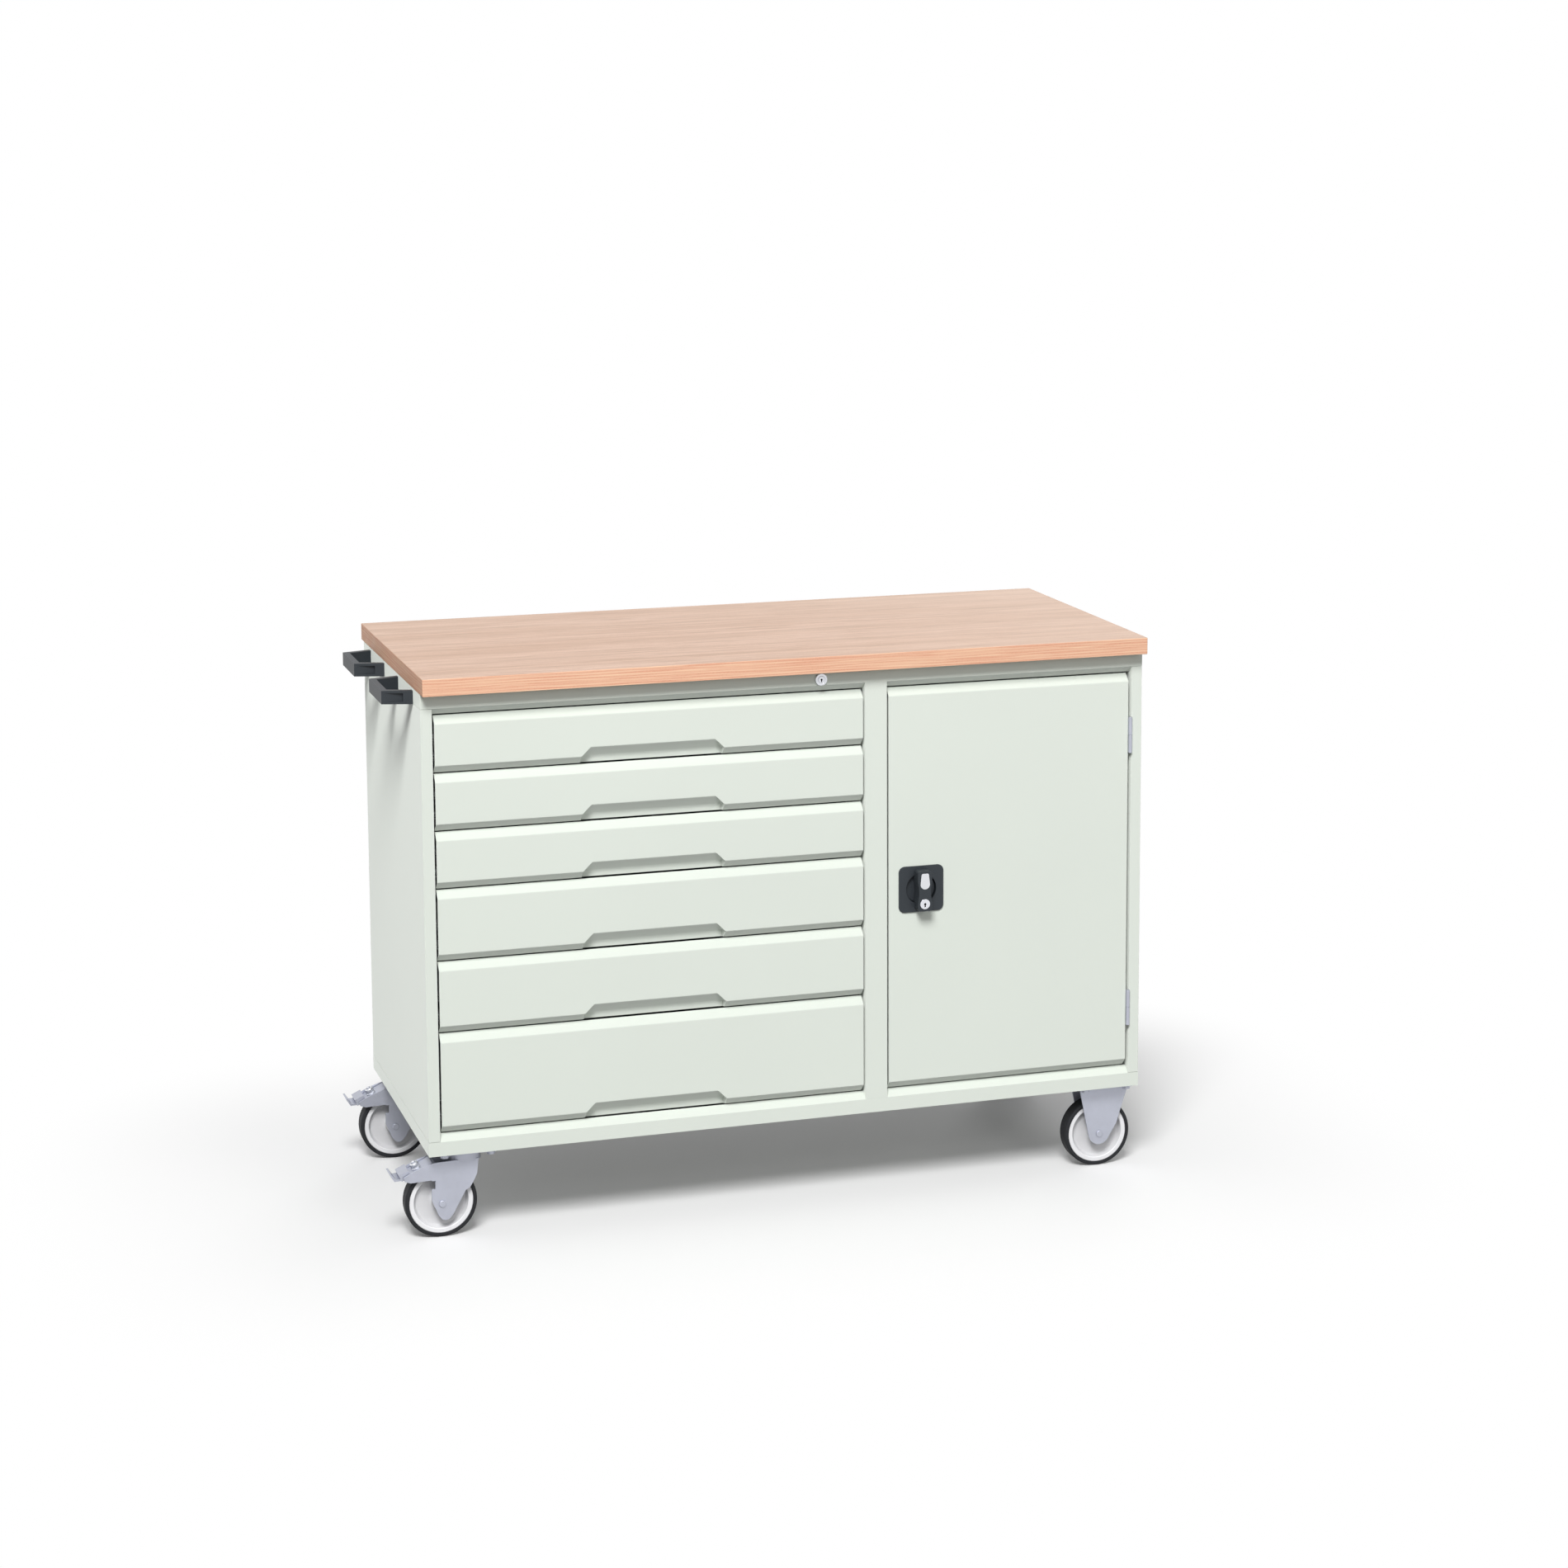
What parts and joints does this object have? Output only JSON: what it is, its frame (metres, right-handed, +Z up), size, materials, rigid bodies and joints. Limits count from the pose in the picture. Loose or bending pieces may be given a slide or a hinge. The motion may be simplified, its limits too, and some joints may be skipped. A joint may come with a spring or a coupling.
{
  "type": "workbench with drawers",
  "caption": "Wheeled steel workbench with a plywood top, a stack of full-width drawers on slides, a lockable cupboard, push handles, and swivel and fixed castors.",
  "frame": {"origin": "centre of the bounding box in plan, at floor level under the wheels", "axes": "+X to the right seen from the front, along the worktop; +Y from the drawer side to the back; +Z up"},
  "size_m": [1.363, 0.6, 0.985],
  "materials": {
    "worktop_wood": "multiplex panel, oiled",
    "body_paint": "powder coat, fine texture, light grey",
    "tray_steel": "galvanised, satin",
    "zinc_steel": "zinc plated, satin",
    "bright_steel": "bright zinc",
    "lock_chrome": "polished chrome",
    "dark_plastic": "moulded, fine grain",
    "rim_plastic": "white nylon, smooth",
    "tyre_rubber": "solid rubber, matt"
  },
  "bodies": {
    "cabinet": {"worktop": "worktop_wood", "top_frame": "body_paint", "left_side": "body_paint", "right_side": "body_paint", "partition": "body_paint", "back_panel": "body_paint", "base_tray": "body_paint", "drawer_runners": "tray_steel", "shelf": "body_paint", "shelf_clips": "bright_steel", "push_handles": "dark_plastic", "fasteners": "bright_steel", "lock_housing": "lock_chrome", "frame_hinges": "zinc_steel", "hinge_pins": "bright_steel", "fixed_forks": "zinc_steel", "fixed_axles": "bright_steel", "swivel_plates": "zinc_steel"},
    "drawer_lock": {"lock_plug": "lock_chrome"},
    "locking_bar": {"lock_bar": "zinc_steel"},
    "door": {"door_panel": "body_paint", "door_stiffener": "body_paint", "door_hinges": "zinc_steel", "lock_plate": "dark_plastic"},
    "knob": {"knob": "dark_plastic"},
    "key_cylinder": {"key_cylinder": "lock_chrome"},
    "upper_rod": {"upper_rod": "zinc_steel"},
    "lower_rod": {"lower_rod": "zinc_steel"},
    "drawer_1": {"drawer_front_1": "body_paint", "drawer_tray_1": "tray_steel"},
    "slide_1": {"drawer_slide_1": "tray_steel"},
    "drawer_2": {"drawer_front_2": "body_paint", "drawer_tray_2": "tray_steel"},
    "slide_2": {"drawer_slide_2": "tray_steel"},
    "drawer_3": {"drawer_front_3": "body_paint", "drawer_tray_3": "tray_steel"},
    "slide_3": {"drawer_slide_3": "tray_steel"},
    "drawer_4": {"drawer_front_4": "body_paint", "drawer_tray_4": "tray_steel"},
    "slide_4": {"drawer_slide_4": "tray_steel"},
    "drawer_5": {"drawer_front_5": "body_paint", "drawer_tray_5": "tray_steel"},
    "slide_5": {"drawer_slide_5": "tray_steel"},
    "drawer_6": {"drawer_front_6": "body_paint", "drawer_tray_6": "tray_steel"},
    "slide_6": {"drawer_slide_6": "tray_steel"},
    "swivel_front": {"swivel_fork_front": "zinc_steel", "swivel_axle_front": "bright_steel"},
    "pedal_front": {"brake_pedal_front": "zinc_steel"},
    "swivel_rear": {"swivel_fork_rear": "zinc_steel", "swivel_axle_rear": "bright_steel"},
    "pedal_rear": {"brake_pedal_rear": "zinc_steel"},
    "wheel_front_left": {"wheel_front_left": "rim_plastic", "tyre_front_left": "tyre_rubber"},
    "wheel_rear_left": {"wheel_rear_left": "rim_plastic", "tyre_rear_left": "tyre_rubber"},
    "wheel_front_right": {"wheel_front_right": "rim_plastic", "tyre_front_right": "tyre_rubber"},
    "wheel_rear_right": {"wheel_rear_right": "rim_plastic", "tyre_rear_right": "tyre_rubber"}
  },
  "joints": [
    {"name": "drawer_1_pull", "type": "slide", "parent": "cabinet", "child": "drawer_1", "axis": [0, -1, 0], "range_m": [0, 0.45]},
    {"name": "slide_1_run", "type": "slide", "parent": "cabinet", "child": "slide_1", "axis": [0, -1, 0], "range_m": [0, 0.225]},
    {"name": "drawer_2_pull", "type": "slide", "parent": "cabinet", "child": "drawer_2", "axis": [0, -1, 0], "range_m": [0, 0.45]},
    {"name": "slide_2_run", "type": "slide", "parent": "cabinet", "child": "slide_2", "axis": [0, -1, 0], "range_m": [0, 0.225]},
    {"name": "drawer_3_pull", "type": "slide", "parent": "cabinet", "child": "drawer_3", "axis": [0, -1, 0], "range_m": [0, 0.45]},
    {"name": "slide_3_run", "type": "slide", "parent": "cabinet", "child": "slide_3", "axis": [0, -1, 0], "range_m": [0, 0.225]},
    {"name": "drawer_4_pull", "type": "slide", "parent": "cabinet", "child": "drawer_4", "axis": [0, -1, 0], "range_m": [0, 0.45]},
    {"name": "slide_4_run", "type": "slide", "parent": "cabinet", "child": "slide_4", "axis": [0, -1, 0], "range_m": [0, 0.225]},
    {"name": "drawer_5_pull", "type": "slide", "parent": "cabinet", "child": "drawer_5", "axis": [0, -1, 0], "range_m": [0, 0.45]},
    {"name": "slide_5_run", "type": "slide", "parent": "cabinet", "child": "slide_5", "axis": [0, -1, 0], "range_m": [0, 0.225]},
    {"name": "drawer_6_pull", "type": "slide", "parent": "cabinet", "child": "drawer_6", "axis": [0, -1, 0], "range_m": [0, 0.45]},
    {"name": "slide_6_run", "type": "slide", "parent": "cabinet", "child": "slide_6", "axis": [0, -1, 0], "range_m": [0, 0.225]},
    {"name": "door_swing", "type": "hinge", "parent": "cabinet", "child": "door", "pos_m": [0.65875, -0.2776, 0.555], "axis": [0, 0, 1], "range_deg": [0, 110]},
    {"name": "knob_turn", "type": "hinge", "parent": "door", "child": "knob", "pos_m": [0.264, -0.275, 0.555], "axis": [0, -1, 0], "range_deg": [0, 90]},
    {"name": "key_turn", "type": "hinge", "parent": "knob", "child": "key_cylinder", "pos_m": [0.264, -0.299, 0.532], "axis": [0, -1, 0], "range_deg": [0, 90]},
    {"name": "upper_rod_throw", "type": "slide", "parent": "door", "child": "upper_rod", "axis": [0, 0, 1], "range_m": [0, 0.01697]},
    {"name": "lower_rod_throw", "type": "slide", "parent": "door", "child": "lower_rod", "axis": [0, 0, -1], "range_m": [0, 0.01697]},
    {"name": "drawer_lock_turn", "type": "hinge", "parent": "cabinet", "child": "drawer_lock", "pos_m": [0.0805, -0.275, 0.941], "axis": [0, -1, 0], "range_deg": [0, 90]},
    {"name": "locking_bar_lift", "type": "slide", "parent": "cabinet", "child": "locking_bar", "axis": [0, 0, 1], "range_m": [0, 0.00848]},
    {"name": "swivel_front_turn", "type": "hinge", "parent": "cabinet", "child": "swivel_front", "pos_m": [-0.5485, -0.225, 0.152], "axis": [0, 0, 1], "continuous": true},
    {"name": "pedal_front_press", "type": "hinge", "parent": "swivel_front", "child": "pedal_front", "pos_m": [-0.6065, -0.225, 0.13], "axis": [0, -1, 0], "range_deg": [0, 8]},
    {"name": "swivel_rear_turn", "type": "hinge", "parent": "cabinet", "child": "swivel_rear", "pos_m": [-0.5485, 0.225, 0.152], "axis": [0, 0, 1], "continuous": true},
    {"name": "pedal_rear_press", "type": "hinge", "parent": "swivel_rear", "child": "pedal_rear", "pos_m": [-0.6065, 0.225, 0.13], "axis": [0, -1, 0], "range_deg": [0, 8]},
    {"name": "wheel_front_left_roll", "type": "hinge", "parent": "swivel_front", "child": "wheel_front_left", "pos_m": [-0.5925, -0.225, 0.0625], "axis": [0, 1, 0], "continuous": true},
    {"name": "wheel_rear_left_roll", "type": "hinge", "parent": "swivel_rear", "child": "wheel_rear_left", "pos_m": [-0.5925, 0.225, 0.0625], "axis": [0, 1, 0], "continuous": true},
    {"name": "wheel_front_right_roll", "type": "hinge", "parent": "cabinet", "child": "wheel_front_right", "pos_m": [0.6165, -0.225, 0.0625], "axis": [0, 1, 0], "continuous": true},
    {"name": "wheel_rear_right_roll", "type": "hinge", "parent": "cabinet", "child": "wheel_rear_right", "pos_m": [0.6165, 0.225, 0.0625], "axis": [0, 1, 0], "continuous": true}
  ],
  "couplings": [
    {"joint": "slide_1_run", "follows": "drawer_1_pull", "ratio": 0.5},
    {"joint": "slide_2_run", "follows": "drawer_2_pull", "ratio": 0.5},
    {"joint": "slide_3_run", "follows": "drawer_3_pull", "ratio": 0.5},
    {"joint": "slide_4_run", "follows": "drawer_4_pull", "ratio": 0.5},
    {"joint": "slide_5_run", "follows": "drawer_5_pull", "ratio": 0.5},
    {"joint": "slide_6_run", "follows": "drawer_6_pull", "ratio": 0.5},
    {"joint": "knob_turn", "follows": "upper_rod_throw", "rad_per_m": 92.56},
    {"joint": "lower_rod_throw", "follows": "upper_rod_throw", "ratio": 1},
    {"joint": "drawer_lock_turn", "follows": "locking_bar_lift", "rad_per_m": 185.12}
  ]
}
